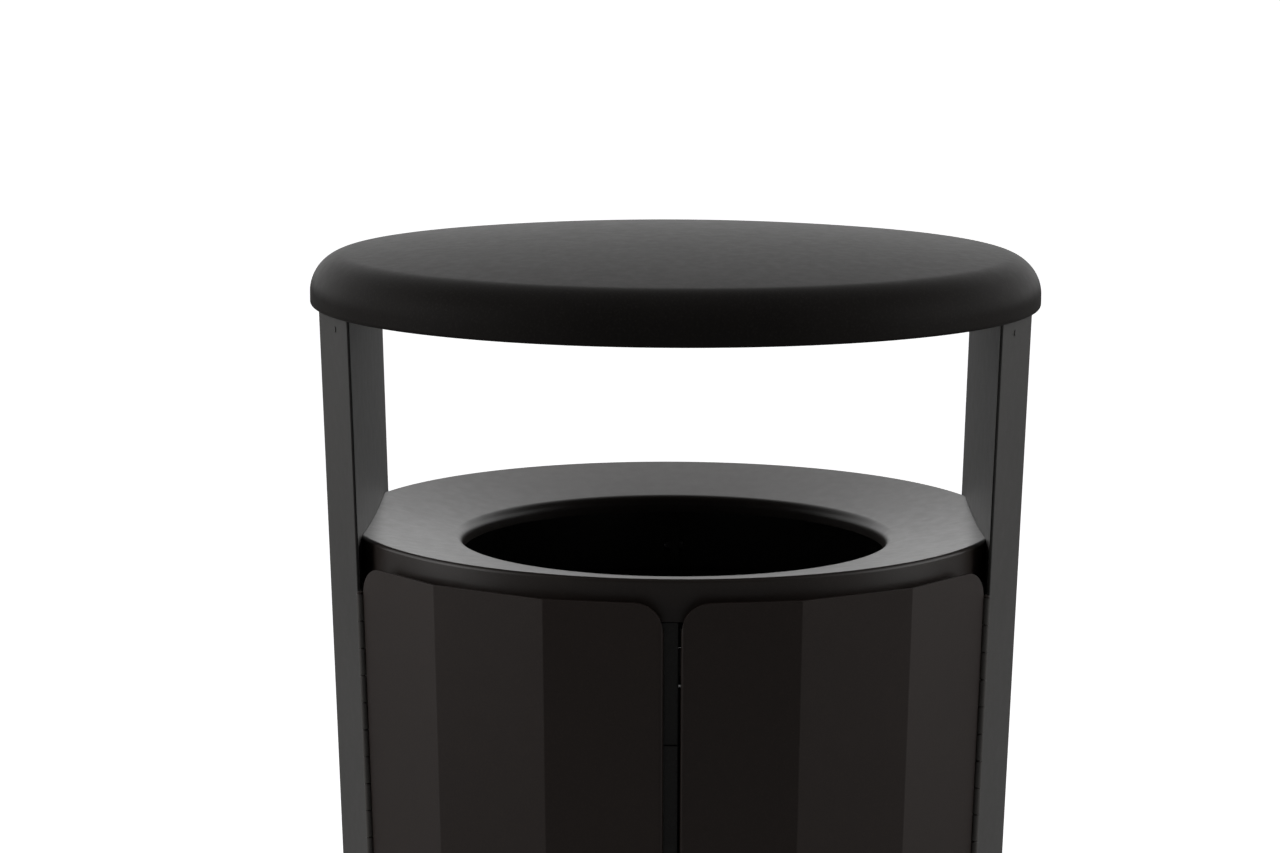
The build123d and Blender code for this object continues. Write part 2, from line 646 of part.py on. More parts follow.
with BuildPart() as liner:
    with BuildSketch(Plane.XZ):
        with BuildLine():
            lip_r = LINER_R_TOP + LINER_LIP
            bore_top = LINER_R_TOP - LINER_WALL
            Polyline((0, LINER_FLOOR), (LINER_R_BOTTOM - LINER_CORNER, LINER_FLOOR),
                     (LINER_R_BOTTOM, LINER_FLOOR + LINER_CORNER),
                     (LINER_R_TOP, LINER_TOP - LINER_WALL),
                     (lip_r - LINER_WALL, LINER_TOP - LINER_WALL),
                     (lip_r - LINER_WALL, LINER_TOP - LINER_LIP_H),
                     (lip_r, LINER_TOP - LINER_LIP_H), (lip_r, LINER_TOP),
                     (bore_top, LINER_TOP),
                     (LINER_R_BOTTOM - LINER_WALL, LINER_FLOOR + LINER_CORNER + LINER_WALL),
                     (LINER_R_BOTTOM - LINER_CORNER, LINER_FLOOR + LINER_WALL),
                     (0, LINER_FLOOR + LINER_WALL), close=True)
        make_face()
    revolve(axis=Axis.Z)
save(liner.part, "liner")

with BuildPart() as liner_guides:
    for turn in (45, 135, 225, 315):
        with Locations(Plane.XY.offset(LINER_FLOOR).rotated((0, 0, turn))):
            with Locations((GUIDE_R, 0, 0)):
                Box(GUIDE_T, GUIDE_W, GUIDE_H, align=(Align.MIN, Align.CENTER, Align.MIN))
                Box(GUIDE_FOOT, GUIDE_W, GUIDE_T, align=(Align.MIN, Align.CENTER, Align.MIN))
save(liner_guides.part, "liner_guides")

# ---- hinges -------------------------------------------------------------------------------------
HINGE_BOTTOM = DOOR_BOTTOM + CORNER_R
HINGE_LENGTH = KNUCKLES * KNUCKLE
BORE_R = PIN_R + PIN_FIT
SLOT = BARREL_R + 0.5
PIN_HEAD = 2.0


def hinge_plane(normal_azimuth):
    """Plane at the hinge's lower end: local z runs up the pin, local x points out of the wall
    whose normal has the given azimuth."""
    normal = radians(normal_azimuth)
    radius = body_radius(HINGE_BOTTOM) + HINGE_OUT
    origin = (radius * POST_SIN, -radius * POST_COS, HINGE_BOTTOM)
    lean = TAPER * cos(radians(normal_azimuth - POST_AZIMUTH))
    return Plane(origin=origin, x_dir=(sin(normal), -cos(normal), -lean),
                 z_dir=(TAPER * POST_SIN, -TAPER * POST_COS, 1))


def hinge_leaf(plane, face_x, side, first):
    """Leaf whose wall side lies at local x = face_x, on the given side of the pin, with every
    second knuckle from the first."""
    root = sqrt(max(0.0, (BORE_R + 0.4) ** 2 - face_x**2))
    with BuildSketch(plane) as strip:
        with Locations((face_x - LEAF / 2, side * (SLOT + LEAF_WIDTH) / 2)):
            Rectangle(LEAF, LEAF_WIDTH - SLOT)
    extrude(strip.sketch, amount=HINGE_LENGTH)
    for index in range(first, KNUCKLES, 2):
        foot = plane.offset(index * KNUCKLE + KNUCKLE_GAP / 2)
        with BuildSketch(foot) as tab:
            Circle(BARREL_R)
            with Locations((face_x - LEAF / 2, side * (root + SLOT + 1) / 2)):
                Rectangle(LEAF, SLOT + 1 - root)
            with Locations((min(face_x, -BORE_R) - LEAF / 2, side * SLOT / 2)):
                Rectangle(max(0.0, -BORE_R - face_x) + LEAF, SLOT)
            Circle(BORE_R, mode=Mode.SUBTRACT)
        extrude(tab.sketch, amount=KNUCKLE - KNUCKLE_GAP)


CHORD_FACE_X = PLATE_OUT - SHEET - HINGE_OUT * POST_SIN
DOOR_FACE_X = -SHEET - HINGE_OUT * cos(HALF_FACET)

with BuildPart() as hinge_frame_leaf:
    hinge_leaf(hinge_plane(90), CHORD_FACE_X, 1, 0)
save_pair(hinge_frame_leaf.part, "hinge_frame_leaf")

with BuildPart() as hinge_door_leaf:
    hinge_leaf(hinge_plane(POST_AZIMUTH - FACET / 2), DOOR_FACE_X, -1, 1)
save_pair(hinge_door_leaf.part, "hinge_door_leaf")

with BuildPart() as hinge_pin:
    pin_foot = hinge_plane(90).offset(KNUCKLE_GAP / 2)
    pin_length = HINGE_LENGTH - KNUCKLE_GAP
    rod(pin_foot, 2 * PIN_R, pin_length)
    rod(pin_foot.offset(-PIN_HEAD), 2 * BARREL_R - 1, PIN_HEAD)
    rod(pin_foot.offset(pin_length), 2 * BARREL_R - 1, PIN_HEAD)
save_pair(hinge_pin.part, "hinge_pin")

# ---- doors --------------------------------------------------------------------------------------
DOOR_EDGE = 0.76             # azimuth left free beside the hinge pin
STIFFENER_Z = (180.0, 690.0)
STIFFENER_H, STIFFENER_DEPTH, STIFFENER_T = 30.0, 14.0, 2.0
STRIKE_Z, STRIKE_TOP = 700.0, RING_TOP - 40.0
CLOSING_STRIP = (-14.0, 5.5)  # strip on the left door that closes the gap from behind
LOCK_AZIMUTH = 6.64
LOCK_BARREL_D, LOCK_HEAD_D, LOCK_HEAD = 19.0, 25.0, 3.0
LOCK_DEPTH = 26.0
PLUG_D, PLUG_BORE = 12.0, 12.1
LOCK_NUT_FLATS, LOCK_NUT_T = 24.0, 5.0
CAM_T, CAM_W, CAM_EYE_R = 3.0, 14.0, 9.0
KEY_R, KEY_DEPTH = 4.0, 6.0
CAM_SCREW_HEAD = 4.0
FREE_EDGE = DOOR_HALF_GAP + SHEET
lock_plane = facet_plane(LOCK_AZIMUTH, LOCK_Z, 0)

def round_corner(corner, across, up):
    """Rounds a corner of the skin: corner is a facet plane there, across and up point into the
    skin along its two edges."""
    with BuildSketch(corner.offset(-2 * SHEET)) as offcut:
        with Locations((across * (CORNER_R - 1) / 2, up * (CORNER_R - 1) / 2)):
            Rectangle(CORNER_R + 1, CORNER_R + 1)
        with Locations((across * CORNER_R, up * CORNER_R)):
            Circle(CORNER_R, mode=Mode.SUBTRACT)
    extrude(offcut.sketch, amount=4 * SHEET, mode=Mode.SUBTRACT)


with BuildPart() as door_skin:
    wall_band(0, POST_AZIMUTH - DOOR_EDGE, DOOR_BOTTOM, DOOR_TOP, 0, SHEET)
    with Locations((0, -body_radius(RING_TOP), RING_TOP / 2)):
        Box(2 * DOOR_HALF_GAP, 120, RING_TOP, mode=Mode.SUBTRACT)
    for z, up in ((DOOR_BOTTOM, 1), (DOOR_TOP, -1)):
        free_azimuth = degrees(asin(DOOR_HALF_GAP / body_radius(z)))
        round_corner(facet_plane(free_azimuth, z, 0), 1, up)
        round_corner(facet_plane(POST_AZIMUTH - DOOR_EDGE, z, 0), -1, up)
    edge_flange(DOOR_HALF_GAP, FREE_EDGE, DOOR_BOTTOM + CORNER_R, DOOR_TOP - CORNER_R,
                0, FLANGE_DEPTH, -1)

with BuildPart() as right_door_skin:
    add(door_skin.part)
    rod(lock_plane.offset(-2 * SHEET), LOCK_BARREL_D, 4 * SHEET, Mode.SUBTRACT)
save(right_door_skin.part, "right_door_skin")

with BuildPart() as left_door_skin:
    mirror(door_skin.part, about=Plane.YZ)
save(left_door_skin.part, "left_door_skin")

with BuildPart() as door_stiffeners:
    for z in STIFFENER_Z:
        start, stop = 4.0, POST_AZIMUTH - 6.0
        inset = SHEET
        wall_band(start, stop, z, z + STIFFENER_H, inset, STIFFENER_T)
        wall_band(start, stop, z, z + STIFFENER_T, inset, STIFFENER_DEPTH)
save_pair(door_stiffeners.part, "door_stiffeners")


def strike(flange_x, lip_x0, lip_x1):
    """Angle on the inner side of a free-edge flange, its lip facing the magnet."""
    leg_ends = sorted((flange_x, flange_x + (STRIKE_T if flange_x > 0 else -STRIKE_T)))
    edge_flange(*leg_ends, STRIKE_Z, DOOR_TOP - CORNER_R, SHEET, STRIKE_DEPTH, -1,
                max(abs(lip_x0), abs(lip_x1)))
    edge_flange(lip_x0, lip_x1, STRIKE_Z, STRIKE_TOP, STRIKE_DEPTH, STRIKE_T, -1)


with BuildPart() as left_door_strike:
    strike(-FREE_EDGE, LEFT_STRIKE[0], CLOSING_STRIP[1])
save(left_door_strike.part, "left_door_strike")

with BuildPart() as door_closing_strip:
    strip_ends = (DOOR_BOTTOM + CORNER_R, STRIKE_Z)
    edge_flange(-FREE_EDGE - STRIKE_T, -FREE_EDGE, *strip_ends, SHEET, STRIKE_DEPTH, -1,
                -CLOSING_STRIP[0])
    edge_flange(*CLOSING_STRIP, *strip_ends, STRIKE_DEPTH, STRIKE_T, -1)
save(door_closing_strip.part, "door_closing_strip")

with BuildPart() as right_door_strike:
    strike(FREE_EDGE, *RIGHT_STRIKE)
save(right_door_strike.part, "right_door_strike")

# ---- cam lock in the right door -------------------------------------------------------------------
with BuildPart() as lock_housing:
    rod(lock_plane, LOCK_HEAD_D, LOCK_HEAD)
    rod(lock_plane.offset(-LOCK_DEPTH), LOCK_BARREL_D, LOCK_DEPTH)
    rod(lock_plane.offset(-LOCK_DEPTH), PLUG_BORE, LOCK_DEPTH + LOCK_HEAD, Mode.SUBTRACT)
save(lock_housing.part, "lock_housing")

with BuildPart() as lock_nut:
    hex_prism(lock_plane.offset(-SHEET - LOCK_NUT_T), LOCK_NUT_FLATS, LOCK_BARREL_D, LOCK_NUT_T)
save(lock_nut.part, "lock_nut")

with BuildPart() as lock_plug:
    rod(lock_plane.offset(-CAM_DEPTH), PLUG_D, CAM_DEPTH + LOCK_HEAD - 0.5)
    with BuildSketch(lock_plane.offset(LOCK_HEAD - 0.5 - KEY_DEPTH)) as key_hole:
        RegularPolygon(KEY_R, 3)
    extrude(key_hole.sketch, amount=KEY_DEPTH, mode=Mode.SUBTRACT)
    rod(lock_plane.offset(-CAM_DEPTH), M6, 10, Mode.SUBTRACT)
save(lock_plug.part, "lock_plug")

with BuildPart() as lock_cam:
    with BuildSketch(lock_plane.offset(-CAM_DEPTH - CAM_T)) as arm:
        Circle(CAM_EYE_R)
        with Locations((0, -CAM_LENGTH / 2)):
            Rectangle(CAM_W, CAM_LENGTH)
        Circle(M6 / 2, mode=Mode.SUBTRACT)
    extrude(arm.sketch, amount=CAM_T)
save(lock_cam.part, "lock_cam")

with BuildPart() as cam_screw:
    rod(lock_plane.offset(-CAM_DEPTH - CAM_T), M6, CAM_T + 9)
    rod(lock_plane.offset(-CAM_DEPTH - CAM_T - CAM_SCREW_HEAD), 10, CAM_SCREW_HEAD)
save(cam_screw.part, "cam_screw")
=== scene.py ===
"""Looks of the canopied litter bin. Metres, +Z up, the doors face -Y."""
import json
from math import atan2, cos, degrees, floor, pi, radians, sin, sqrt

import bmesh
import bpy
from mathutils import Matrix, Vector


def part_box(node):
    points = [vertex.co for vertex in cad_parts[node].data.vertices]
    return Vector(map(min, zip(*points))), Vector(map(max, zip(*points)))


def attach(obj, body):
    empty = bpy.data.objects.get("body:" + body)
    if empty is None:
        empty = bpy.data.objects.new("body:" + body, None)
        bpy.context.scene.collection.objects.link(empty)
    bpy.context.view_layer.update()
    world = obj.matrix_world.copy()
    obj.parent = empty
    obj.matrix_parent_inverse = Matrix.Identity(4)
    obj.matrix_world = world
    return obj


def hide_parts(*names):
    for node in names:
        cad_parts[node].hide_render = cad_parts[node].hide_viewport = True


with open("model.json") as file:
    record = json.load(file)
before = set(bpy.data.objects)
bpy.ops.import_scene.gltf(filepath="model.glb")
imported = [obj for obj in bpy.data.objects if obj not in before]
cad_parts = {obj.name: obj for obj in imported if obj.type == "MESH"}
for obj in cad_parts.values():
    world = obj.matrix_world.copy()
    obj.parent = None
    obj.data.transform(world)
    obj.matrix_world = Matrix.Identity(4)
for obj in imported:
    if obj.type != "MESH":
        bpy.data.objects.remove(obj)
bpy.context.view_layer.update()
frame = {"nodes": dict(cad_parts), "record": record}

MM = 0.001
FACETS = 18
FACET = 360 / FACETS          # degrees of one facet of the body
HALF_FACET = radians(FACET / 2)
POST_AZIMUTH = 60.0           # degrees from the front to a post's front edge
TAPER = 0.033                 # widening of the body's radius per unit of height
SHEET = 2.5 * MM
WELD = 0.001 * MM             # points closer than this are one point

BODY_OF = {node: body for body, nodes in frame["record"]["behaviour"]["bodies"].items()
           for node in nodes}
SLOT_OF = {row["node"]: row["material_slot"] for row in frame["record"]["subparts"]}

post_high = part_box("right_post_shell")[1]
ring_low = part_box("funnel_ring")[0]
canopy_low, canopy_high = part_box("canopy")
RING_SKIRT = 38 * MM
RING_TOP = ring_low.z + RING_SKIRT
TOP_RADIUS = post_high.x / cos(HALF_FACET)


# ---- camera -----------------------------------------------------------------------------------
CAMERA_DISTANCE = 3.097
CAMERA_ABOVE_RING = 0.568
CAMERA_SIDE = 0.0103
CAMERA_YAW, CAMERA_PITCH, CAMERA_ROLL = radians(0.796), radians(8.88), radians(0.2)
SENSOR = 36.0
FOCAL_WIDTHS = 2.5828         # focal length in picture widths


def add_camera():
    data = bpy.data.cameras.new("camera")
    data.sensor_width = SENSOR
    data.lens = FOCAL_WIDTHS * SENSOR
    camera = bpy.data.objects.new("camera", data)
    bpy.context.scene.collection.objects.link(camera)
    turn = (Matrix.Rotation(CAMERA_YAW, 4, "Z") @ Matrix.Rotation(pi / 2 - CAMERA_PITCH, 4, "X")
            @ Matrix.Rotation(CAMERA_ROLL, 4, "Z"))
    place = Matrix.Translation((CAMERA_SIDE, -CAMERA_DISTANCE, RING_TOP + CAMERA_ABOVE_RING))
    camera.matrix_world = place @ turn
    bpy.context.scene.camera = camera


# ---- node helpers -----------------------------------------------------------------------------
WHITE = (1, 1, 1, 1)
EDGE_SAMPLES = 4
EDGE_FLAT, EDGE_TURNED = 0.995, 0.85     # normal against rounded normal, off and on an edge


class Nodes:
    """Short-hand for building the node tree of a material or a world."""

    def __init__(self, owner):
        owner.use_nodes = True
        self.owner = owner
        self.tree = owner.node_tree

    def node(self, kind, **inputs):
        """New node; an input's name is written with _ for each space."""
        new = self.tree.nodes.new(kind)
        for key, value in inputs.items():
            self.feed(new.inputs[key.replace("_", " ")], value)
        return new

    def feed(self, socket, value):
        if isinstance(value, bpy.types.NodeSocket):
            self.tree.links.new(value, socket)
        else:
            socket.default_value = value

    def noise(self, scale, detail=2.0, stretch=(1, 1, 1), roughness=0.5):
        place = self.node("ShaderNodeTexCoord").outputs["Object"]
        spread = self.node("ShaderNodeMapping", Vector=place, Scale=stretch)
        noise = self.node("ShaderNodeTexNoise", Vector=spread.outputs[0], Scale=scale,
                          Detail=detail, Roughness=roughness)
        return noise.outputs["Fac"]

    def ramp(self, value, low, high, out_low=0.0, out_high=1.0):
        remap = self.node("ShaderNodeMapRange", Value=value, From_Min=low, From_Max=high,
                          To_Min=out_low, To_Max=out_high)
        return remap.outputs["Result"]

    def mix(self, factor, first, second):
        """Blend of two colours, each a socket or three numbers."""
        blend = self.tree.nodes.new("ShaderNodeMix")
        blend.data_type = "RGBA"
        self.feed(blend.inputs[0], factor)
        self.feed(blend.inputs[6], (*first, 1) if isinstance(first, tuple) else first)
        self.feed(blend.inputs[7], (*second, 1) if isinstance(second, tuple) else second)
        return blend.outputs[2]

    def edge_mask(self, radius):
        """1 on outer edges within about this radius, 0 on the open faces."""
        bevel = self.node("ShaderNodeBevel", Radius=radius)
        bevel.samples = EDGE_SAMPLES
        surface = self.node("ShaderNodeNewGeometry")
        dot = self.tree.nodes.new("ShaderNodeVectorMath")
        dot.operation = "DOT_PRODUCT"
        self.feed(dot.inputs[0], bevel.outputs[0])
        self.feed(dot.inputs[1], surface.outputs["Normal"])
        return self.ramp(dot.outputs["Value"], EDGE_FLAT, EDGE_TURNED)

    def bump(self, height, distance, strength, **under):
        """Normal bumped by this height, on top of Normal=... where one is given."""
        bump = self.node("ShaderNodeBump", Height=height, Distance=distance, Strength=strength,
                         **under)
        return bump.outputs["Normal"]

    def shade(self, **inputs):
        """The material, with these inputs of its surface shader set or linked."""
        for key, value in inputs.items():
            self.feed(self.tree.nodes["Principled BSDF"].inputs[key.replace("_", " ")], value)
        return self.owner


def paler(colour, factor):
    return tuple(channel * factor for channel in colour)


# ---- materials --------------------------------------------------------------------------------
# width of the edge band: worn paint, and on the hinges painted shade
EDGE_WEAR_AND_SHADE_WIDTH = 1.2 * MM
DUST_FINENESS = 7             # how much finer the dust is than the mottle


def powder_coat(name, base, edge_wear_and_shade, roughness, grain, mottle, specular=0.5):
    """Fine-textured powder coat: grain, soft cloudiness, a little dust and edges in the edge
    colour, worn paint if lighter, painted shade if darker. Grain and mottle are noise scales; a
    larger one is finer."""
    n = Nodes(bpy.data.materials.new(name))
    fine = n.noise(grain, detail=3.0)
    cloud = n.noise(mottle, detail=4.0)
    dust = n.noise(mottle * DUST_FINENESS, detail=5.0, roughness=0.6)
    cloudy = n.mix(n.ramp(cloud, 0.35, 0.65), base, paler(base, 1.12))
    dusty = n.mix(n.ramp(dust, 0.56, 0.8, 0.0, 0.3), cloudy, paler(base, 1.5))
    speckled = n.mix(n.ramp(fine, 0.5, 0.75, 0.0, 0.45), dusty, paler(base, 1.8))
    # edge band: lighter worn paint, and on the hinges a darker painted shade in the knuckle gaps
    edged = n.mix(n.ramp(n.edge_mask(EDGE_WEAR_AND_SHADE_WIDTH), 0, 1, 0.0, 0.5), speckled, edge_wear_and_shade)
    rough = n.ramp(dust, 0.3, 0.75, roughness - 0.02, roughness + 0.04)
    grained = n.bump(fine, distance=0.05 * MM, strength=0.55)
    normal = n.bump(cloud, distance=0.2 * MM, strength=0.06, Normal=grained)
    return n.shade(Base_Color=edged, Roughness=rough, Normal=normal,
                   Specular_IOR_Level=specular)


def plated_steel(name, tint):
    """Zinc-plated steel with fine turning marks."""
    n = Nodes(bpy.data.materials.new(name))
    marks = n.noise(scale=1400, stretch=(1, 1, 6))
    stain = n.noise(scale=120, detail=4.0)
    colour = n.mix(n.ramp(stain, 0.35, 0.7), tint, paler(tint, 0.6))
    normal = n.bump(marks, distance=0.02 * MM, strength=0.5)
    return n.shade(Base_Color=colour, Metallic=1.0, Normal=normal,
                   Roughness=n.ramp(stain, 0.3, 0.7, 0.28, 0.48))


def moulded_plastic(name, base, roughness, grain):
    """Moulded plastic with a fine eroded grain and light scuffs."""
    n = Nodes(bpy.data.materials.new(name))
    pits = n.noise(grain)
    scuff = n.noise(scale=60, detail=6.0, stretch=(1, 1, 0.2), roughness=0.7)
    colour = n.mix(n.ramp(scuff, 0.55, 0.75, 0.0, 0.6), base, paler(base, 1.8))
    normal = n.bump(pits, distance=0.08 * MM, strength=0.5)
    return n.shade(Base_Color=colour, Normal=normal,
                   Roughness=n.ramp(scuff, 0.4, 0.75, roughness, roughness + 0.12))


LOOKS = {
    "body_paint": (powder_coat, dict(base=(0.062, 0.060, 0.057), edge_wear_and_shade=(0.11, 0.11, 0.108),
                                     roughness=0.42, grain=650, mottle=9)),
    "door_paint": (powder_coat, dict(base=(0.0265, 0.0165, 0.0128), edge_wear_and_shade=(0.075, 0.064, 0.059),
                                     roughness=0.42, grain=650, mottle=7)),
    "canopy_paint": (powder_coat, dict(base=(0.024, 0.0218, 0.0206), edge_wear_and_shade=(0.07, 0.067, 0.065),
                                       roughness=0.42, grain=520, mottle=14, specular=0.03)),
    "ring_paint": (powder_coat, dict(base=(0.034, 0.0265, 0.023), edge_wear_and_shade=(0.16, 0.155, 0.15),
                                     roughness=0.34, grain=900, mottle=12)),
    # hinge paint: base lighter than the body paint, painted light on the protruding barrel; its
    # darker edge colour is painted shade in the knuckle gaps
    "hinge_paint": (powder_coat, dict(base=(0.085, 0.079, 0.073), edge_wear_and_shade=(0.06, 0.055, 0.05),
                                      roughness=0.42, grain=900, mottle=20)),
    "plated_steel": (plated_steel, dict(tint=(0.24, 0.245, 0.25))),
    "liner_plastic": (moulded_plastic, dict(base=(0.016, 0.016, 0.017), roughness=0.5,
                                            grain=420)),
    "bumper_rubber": (moulded_plastic, dict(base=(0.012, 0.012, 0.012), roughness=0.72,
                                            grain=900)),
    "foot_plastic": (moulded_plastic, dict(base=(0.018, 0.018, 0.018), roughness=0.55,
                                           grain=700)),
    "magnet": (moulded_plastic, dict(base=(0.022, 0.022, 0.022), roughness=0.6, grain=800)),
}
MATERIALS = {name: make(name, **look) for name, (make, look) in LOOKS.items()}


# ---- mesh helpers -----------------------------------------------------------------------------
EDGE_ROUND = 0.7 * MM
EDGE_SEGMENTS = 2
CREASE_ANGLE = 50.0           # degrees; sharper edges are rounded
CAD_CREASE_ANGLE = 35.0
TURNED_SHARP_ANGLE = 40.0
FLAT_WEIGHT = 80
SAME_PLANE_ANGLE = 0.6        # degrees; CAD triangles this near to flat become one face


def place_piece(obj, node):
    """Gives a new piece its body, material and record slot, in place of a CAD node."""
    obj.data.materials.clear()
    obj.data.materials.append(MATERIALS[SLOT_OF[node]])
    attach(obj, BODY_OF[node])
    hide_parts(node)
    return obj


def new_object(name, bm):
    bmesh.ops.recalc_face_normals(bm, faces=bm.faces)
    mesh = bpy.data.meshes.new(name)
    bm.to_mesh(mesh)
    bm.free()
    mesh.shade_smooth()
    obj = bpy.data.objects.new(name, mesh)
    bpy.context.scene.collection.objects.link(obj)
    return obj


def round_edges(obj, width, angle=CREASE_ANGLE):
    """Small rounded edges, with flat faces kept flat."""
    bevel = obj.modifiers.new("edges", "BEVEL")
    bevel.width = width
    bevel.segments = EDGE_SEGMENTS
    bevel.limit_method = "ANGLE"
    bevel.angle_limit = radians(angle)
    weighted = obj.modifiers.new("flats", "WEIGHTED_NORMAL")
    weighted.keep_sharp = True
    weighted.weight = FLAT_WEIGHT
    return obj


def soften(node, width):
    """A copy of a CAD piece with rounded edges, in its place."""
    bm = bmesh.new()
    bm.from_mesh(frame["nodes"][node].data)
    bmesh.ops.remove_doubles(bm, verts=bm.verts, dist=WELD)
    bmesh.ops.dissolve_limit(bm, angle_limit=radians(SAME_PLANE_ANGLE), verts=bm.verts,
                             edges=bm.edges)
    piece = new_object(f"{node}_finish", bm)
    piece.data.set_sharp_from_angle(angle=radians(CAD_CREASE_ANGLE))
    round_edges(piece, width, CAD_CREASE_ANGLE)
    return place_piece(piece, node)


# ---- outline of the body ----------------------------------------------------------------------
PLATE_OUT = 4.15 * MM         # from the chord between a post's edges to its inner plate's face


def body_radius(z):
    return TOP_RADIUS + TAPER * (z - post_high.z)


def wall_point(azimuth, z):
    """Point of the 18-sided outline, azimuth in degrees from the front."""
    middle = FACET * (floor(azimuth / FACET) + 0.5)
    reach = body_radius(z) * cos(HALF_FACET)
    radius = reach / cos(radians(azimuth - middle))
    return Vector((radius * sin(radians(azimuth)), -radius * cos(radians(azimuth))))


def front_point(x, z):
    """Point of the front facet on the right of the middle plane, at this distance from it."""
    reach = body_radius(z) * cos(HALF_FACET)
    return Vector((x, -(reach - x * sin(HALF_FACET)) / cos(HALF_FACET)))


def facet_corners(start, stop, z):
    """The outline's corners between two azimuths, with a point at each of the two."""
    folds = [FACET * i for i in range(-FACETS // 2, FACETS // 2 + 1) if start < FACET * i < stop]
    return [wall_point(azimuth, z) for azimuth in (start, *folds, stop)]


def chord_x(z):
    """Outer face of a post's inner plate."""
    return body_radius(z) * sin(radians(POST_AZIMUTH)) + PLATE_OUT


# ---- paths ------------------------------------------------------------------------------------
BEND_STEPS = 5


def bend_path(corners, radii):
    """The polyline through the corners with every inner corner as an arc of its radius."""
    path = [corners[0]]
    for before, corner, after, radius in zip(corners, corners[1:], corners[2:], radii):
        back, ahead = (before - corner).normalized(), (after - corner).normalized()
        half_open = back.angle(ahead) / 2
        reach = radius / (sin(half_open) / cos(half_open))
        centre = corner + (back + ahead).normalized() * (radius / sin(half_open))
        start, stop = corner + back * reach - centre, corner + ahead * reach - centre
        turn = -start.angle_signed(stop)
        for i in range(BEND_STEPS + 1):
            path.append(centre + Matrix.Rotation(turn * i / BEND_STEPS, 2) @ start)
    path.append(corners[-1])
    return path


def distances(path):
    lengths = [0.0]
    for a, b in zip(path, path[1:]):
        lengths.append(lengths[-1] + (b - a).length)
    return lengths


def mirrored(path):
    return [Vector((-p.x, p.y)) for p in reversed(path)]


def add_columns(path, places):
    """The same path with extra points at the given distances along it."""
    too_near = 0.1 * MM
    lengths = distances(path)
    points = list(zip(lengths, path))
    for place in places:
        if min(abs(place - known) for known, _ in points) < too_near:
            continue
        index = max(i for i in range(len(lengths) - 1) if lengths[i] <= place)
        share = (place - lengths[index]) / (lengths[index + 1] - lengths[index])
        points.append((place, path[index].lerp(path[index + 1], share)))
    return [point for _, point in sorted(points, key=lambda item: item[0])]


# ---- outer sheets -----------------------------------------------------------------------------
BEND_R = 4 * MM
FLANGE_BEND_R = 3 * MM
FLANGE_DEPTH = 19 * MM
CORNER_R = 25.4 * MM
CORNER_COLUMNS = 10
SHEET_ROWS = 12
DOOR_EDGE = 0.76              # degrees left free beside the hinge pin
POST_EDGE = 2.15              # degrees from a post's edge to where its shell's facets start


def sheet_piece(name, path, bottom, top, ends=None):
    """Sheet wall that follows a plan path, given at its top, and tapers with the body.
    ends(distance along the path) says how far the lower and upper edges stand back there."""
    bm = bmesh.new()
    columns = []
    for point, distance in zip(path, distances(path)):
        back = ends(distance) if ends else 0.0
        column = []
        for i in range(SHEET_ROWS + 1):
            z = bottom + back + (top - bottom - 2 * back) * i / SHEET_ROWS
            scale = body_radius(z) / body_radius(top)
            column.append(bm.verts.new((point.x * scale, point.y * scale, z)))
        columns.append(column)
    for left, right in zip(columns, columns[1:]):
        for i in range(SHEET_ROWS):
            bm.faces.new((left[i], right[i], right[i + 1], left[i + 1]))
    obj = new_object(name, bm)
    solid = obj.modifiers.new("thickness", "SOLIDIFY")
    solid.thickness = SHEET
    solid.offset = -1
    solid.use_even_offset = True
    return round_edges(obj, EDGE_ROUND)


def corner_places(start, stop):
    """Distances along the path where columns draw a rounded corner at each end."""
    arc = [CORNER_R * (1 - cos(pi / 2 * i / CORNER_COLUMNS)) for i in range(CORNER_COLUMNS + 1)]
    return [start + d for d in arc] + [stop - d for d in arc]


def corner_set_back(distance, start, stop):
    """How far the upper and lower edges stand back for the rounded corners."""
    near = max(min(distance - start, stop - distance), 0.0)
    if near >= CORNER_R:
        return 0.0
    return CORNER_R - sqrt(CORNER_R**2 - (CORNER_R - near)**2)


def make_post_shell(node, side):
    """The outer facets of one post, between its front and rear edges."""
    low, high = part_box(node)
    edges = (side * (POST_AZIMUTH + POST_EDGE), side * (180 - POST_AZIMUTH - POST_EDGE))
    corners = facet_corners(min(edges), max(edges), high.z)
    path = bend_path(corners, [BEND_R] * len(corners))
    return place_piece(sheet_piece(f"{node}_finish", path, low.z, high.z), node)


def flanged_path(free_x, stop, z):
    """Right-hand front wall from a return flange at free_x to its plain edge."""
    edge = front_point(free_x, z)
    flange = edge + Vector((0, FLANGE_DEPTH))
    wall = facet_corners(0, stop, z)[1:]
    return bend_path([flange, edge, *wall], [FLANGE_BEND_R] + [BEND_R] * len(wall))


def make_door_skin(node, side):
    """A door: facets with a return flange on the free edge and four rounded corners."""
    low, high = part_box(node)
    free_x = min(abs(low.x), abs(high.x))
    path = flanged_path(free_x, POST_AZIMUTH - DOOR_EDGE, high.z)
    start = distances(path)[1 + BEND_STEPS // 2]
    stop = distances(path)[-1]
    path = add_columns(path, corner_places(start, stop))

    def set_back(distance):
        return corner_set_back(distance if side > 0 else stop - distance, start, stop)

    piece = sheet_piece(f"{node}_finish", path if side > 0 else mirrored(path), low.z, high.z,
                        set_back)
    return place_piece(piece, node)


# ---- turned pieces ----------------------------------------------------------------------------
TURN_STEPS = 192
ON_AXIS = 0.01 * MM           # a smaller radius is one point on the axis


def arc_points(centre, radius, start, stop, steps):
    """Points (radius, height) of an arc, angles in degrees from the outward horizontal."""
    angles = [radians(start + (stop - start) * i / steps) for i in range(steps + 1)]
    return [(centre[0] + radius * cos(a), centre[1] + radius * sin(a)) for a in angles]


